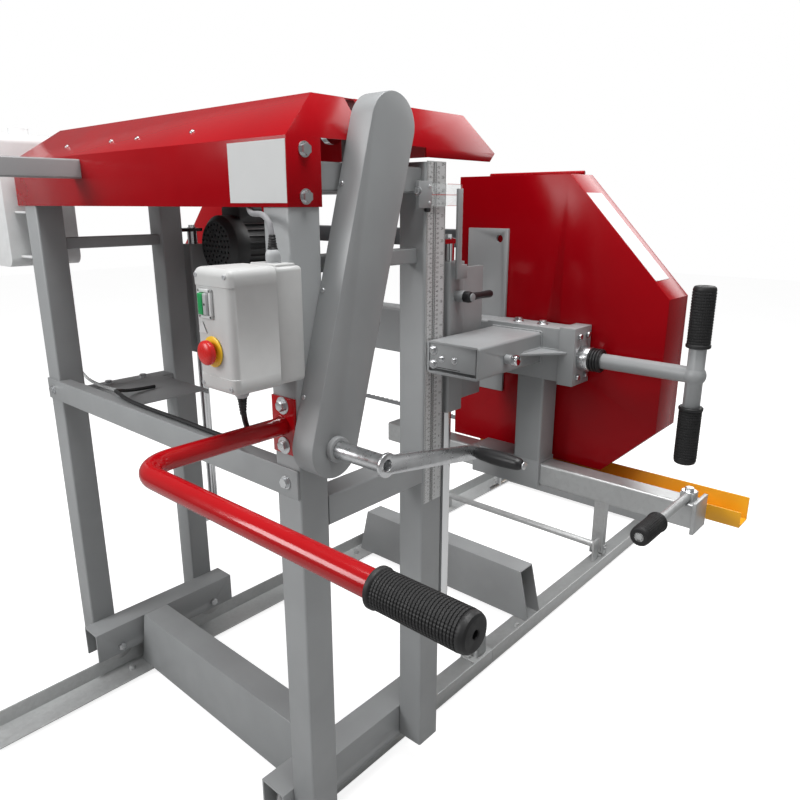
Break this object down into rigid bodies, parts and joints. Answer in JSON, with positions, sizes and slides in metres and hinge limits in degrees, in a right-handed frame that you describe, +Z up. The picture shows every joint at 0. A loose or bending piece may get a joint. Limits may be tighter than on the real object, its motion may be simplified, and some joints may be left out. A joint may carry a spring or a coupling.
{
  "type": "portable band sawmill",
  "caption": "Band sawmill: a wheeled four-post carriage on a ground track, with a head of covered band wheels that is raised by a crank, a switch box and a push handle.",
  "frame": {"origin": "on the ground, midway between the four posts of the carriage at rest", "axes": "+Z up, +Y along the rails in the cutting direction, +X to the right of a person who pushes the carriage"},
  "size_m": [2.075, 2.58, 1.62],
  "materials": {
    "frame_grey": "satin powder coat",
    "galvanised": "galvanised",
    "bright_steel": "bright zinc",
    "wheel_steel": "machined",
    "cast_wheel": "painted casting",
    "blade_steel": "polished band",
    "dark_grey": "satin",
    "red_paint": "gloss",
    "yellow_paint": "satin",
    "black_paint": "satin",
    "black_rubber": "ribbed",
    "black_plastic": "matt",
    "pale_plastic": "matt",
    "box_plastic": "matt",
    "red_plastic": "gloss",
    "green_plastic": "gloss",
    "scale_white": "printed strip",
    "grey_cable": "matt",
    "black_cable": "matt",
    "clear_hose": "clear"
  },
  "bodies": {
    "track": {"rails": "galvanised", "bunks": "frame_grey", "track_fittings": "galvanised"},
    "log_stop": {"log_stop": "frame_grey"},
    "carriage": {"posts": "frame_grey", "foot_channels": "frame_grey", "wheel_axles": "bright_steel", "front_bar": "frame_grey", "side_beams": "frame_grey", "upper_frame": "frame_grey", "columns": "bright_steel", "hood": "red_paint", "hanger_arm": "dark_grey", "lube_tank": "pale_plastic", "crank_case": "frame_grey", "lift_chain": "wheel_steel", "switch_box": "box_plastic", "push_handle": "red_paint", "push_grip": "black_rubber", "height_scale": "scale_white", "frame_bolts": "bright_steel", "motor_cable": "grey_cable", "supply_cable": "black_cable", "lube_hose": "clear_hose"},
    "wheel_left_near": {"wheel_left_near": "wheel_steel"},
    "wheel_left_far": {"wheel_left_far": "wheel_steel"},
    "wheel_right_near": {"wheel_right_near": "wheel_steel"},
    "wheel_right_far": {"wheel_right_far": "wheel_steel"},
    "crank": {"crank": "bright_steel"},
    "crank_grip": {"crank_grip": "black_plastic"},
    "lift_shaft": {"lift_shaft": "bright_steel"},
    "stop_button": {"stop_button": "red_plastic"},
    "start_button": {"start_button": "green_plastic"},
    "head": {"sleeves": "frame_grey", "head_beam": "frame_grey", "tension_block": "frame_grey", "blade": "blade_steel", "motor": "black_paint", "drive_belt": "black_rubber", "cover_left": "red_paint", "cover_right": "red_paint", "blade_cover": "dark_grey", "index_arm": "frame_grey", "head_fittings": "bright_steel", "guide_holder": "frame_grey"},
    "idler_slide": {"idler_slide": "bright_steel"},
    "tee_handle": {"tee_handle": "frame_grey", "tee_grips": "black_rubber"},
    "drive_wheel": {"drive_wheel": "cast_wheel"},
    "idler_wheel": {"idler_wheel": "cast_wheel"},
    "motor_pulley": {"motor_pulley": "cast_wheel"},
    "door_left": {"door_left": "red_paint"},
    "door_right": {"door_right": "red_paint"},
    "guide_beam": {"guide_beam": "galvanised", "guide_grip": "black_rubber", "blade_guard": "yellow_paint"},
    "guide_clamp": {"guide_clamp": "bright_steel"},
    "lock_lever": {"lock_lever": "black_plastic"},
    "index_plunger": {"index_plunger": "black_plastic"}
  },
  "joints": [
    {"name": "log_stop_fold", "type": "hinge", "parent": "track", "child": "log_stop", "pos_m": [0.36, 1.515, 0.05], "axis": [-1, 0, 0], "range_deg": [0, 90]},
    {"name": "carriage_travel", "type": "slide", "parent": "track", "child": "carriage", "axis": [0, 1, 0], "range_m": [-0.3, 1.7]},
    {"name": "wheel_right_far_roll", "type": "hinge", "parent": "carriage", "child": "wheel_right_far", "pos_m": [0.4325, 0.165, 0.108], "axis": [1, 0, 0], "continuous": true},
    {"name": "wheel_right_near_roll", "type": "hinge", "parent": "carriage", "child": "wheel_right_near", "pos_m": [0.4325, -0.165, 0.108], "axis": [1, 0, 0], "continuous": true},
    {"name": "wheel_left_far_roll", "type": "hinge", "parent": "carriage", "child": "wheel_left_far", "pos_m": [-0.4325, 0.165, 0.108], "axis": [1, 0, 0], "continuous": true},
    {"name": "wheel_left_near_roll", "type": "hinge", "parent": "carriage", "child": "wheel_left_near", "pos_m": [-0.4325, -0.165, 0.108], "axis": [1, 0, 0], "continuous": true},
    {"name": "head_lift", "type": "slide", "parent": "carriage", "child": "head", "axis": [0, 0, 1], "range_m": [-0.56, 0.02]},
    {"name": "crank_turn", "type": "hinge", "parent": "carriage", "child": "crank", "pos_m": [0.7, -0.171, 0.994], "axis": [1, 0, 0], "range_deg": [-1345, 50]},
    {"name": "lift_shaft_turn", "type": "hinge", "parent": "carriage", "child": "lift_shaft", "pos_m": [0, -0.011, 1.552], "axis": [1, 0, 0], "range_deg": [-1345, 50]},
    {"name": "crank_grip_spin", "type": "hinge", "parent": "crank", "child": "crank_grip", "pos_m": [0.78, 0.087, 0.947], "axis": [1, 0, 0], "continuous": true},
    {"name": "stop_button_push", "type": "slide", "parent": "carriage", "child": "stop_button", "axis": [0, 1, 0], "range_m": [0, 0.004], "stiffness_N_per_m": 1500},
    {"name": "start_button_push", "type": "slide", "parent": "carriage", "child": "start_button", "axis": [0, 1, 0], "range_m": [0, 0.004], "stiffness_N_per_m": 1000},
    {"name": "tension_slide", "type": "slide", "parent": "head", "child": "idler_slide", "axis": [1, 0, 0], "range_m": [-0.012, 0]},
    {"name": "tee_handle_turn", "type": "hinge", "parent": "head", "child": "tee_handle", "pos_m": [0.9, 0.429, 1.087], "axis": [1, 0, 0], "range_deg": [-2170, 5]},
    {"name": "drive_wheel_spin", "type": "hinge", "parent": "head", "child": "drive_wheel", "pos_m": [-0.667, 0.52, 1.087], "axis": [0, 1, 0], "continuous": true},
    {"name": "idler_wheel_spin", "type": "hinge", "parent": "idler_slide", "child": "idler_wheel", "pos_m": [0.667, 0.52, 1.087], "axis": [0, 1, 0], "continuous": true},
    {"name": "motor_spin", "type": "hinge", "parent": "head", "child": "motor_pulley", "pos_m": [-0.36, 0.48, 1.296], "axis": [0, 1, 0], "continuous": true},
    {"name": "door_left_open", "type": "hinge", "parent": "head", "child": "door_left", "pos_m": [-0.48, 0.57365, 1.4884], "axis": [1, 0, 0], "range_deg": [0, 100]},
    {"name": "door_right_open", "type": "hinge", "parent": "head", "child": "door_right", "pos_m": [0.53, 0.57365, 1.4884], "axis": [1, 0, 0], "range_deg": [0, 100]},
    {"name": "guide_travel", "type": "slide", "parent": "head", "child": "guide_beam", "axis": [1, 0, 0], "range_m": [-0.25, 0.13]},
    {"name": "guide_clamp_turn", "type": "hinge", "parent": "head", "child": "guide_clamp", "pos_m": [0.56, 0.43, 0.74], "axis": [0, 0, 1], "range_deg": [0, 720]},
    {"name": "lock_lever_turn", "type": "hinge", "parent": "head", "child": "lock_lever", "pos_m": [0.5678, 0.265, 1.222], "axis": [1, 0, 0], "range_deg": [-50, 60]},
    {"name": "index_plunger_pull", "type": "slide", "parent": "head", "child": "index_plunger", "axis": [1, 0, 0], "range_m": [0, 0.008], "stiffness_N_per_m": 600}
  ],
  "couplings": [
    {"joint": "crank_turn", "follows": "head_lift", "rad_per_m": 41.667},
    {"joint": "lift_shaft_turn", "follows": "head_lift", "rad_per_m": 41.667},
    {"joint": "tee_handle_turn", "follows": "tension_slide", "rad_per_m": 3141.6},
    {"joint": "idler_wheel_spin", "follows": "drive_wheel_spin", "ratio": 1},
    {"joint": "motor_spin", "follows": "drive_wheel_spin", "ratio": 1},
    {"joint": "wheel_left_near_roll", "follows": "carriage_travel", "rad_per_m": -22.727},
    {"joint": "wheel_left_far_roll", "follows": "carriage_travel", "rad_per_m": -22.727},
    {"joint": "wheel_right_near_roll", "follows": "carriage_travel", "rad_per_m": -22.727},
    {"joint": "wheel_right_far_roll", "follows": "carriage_travel", "rad_per_m": -22.727}
  ]
}
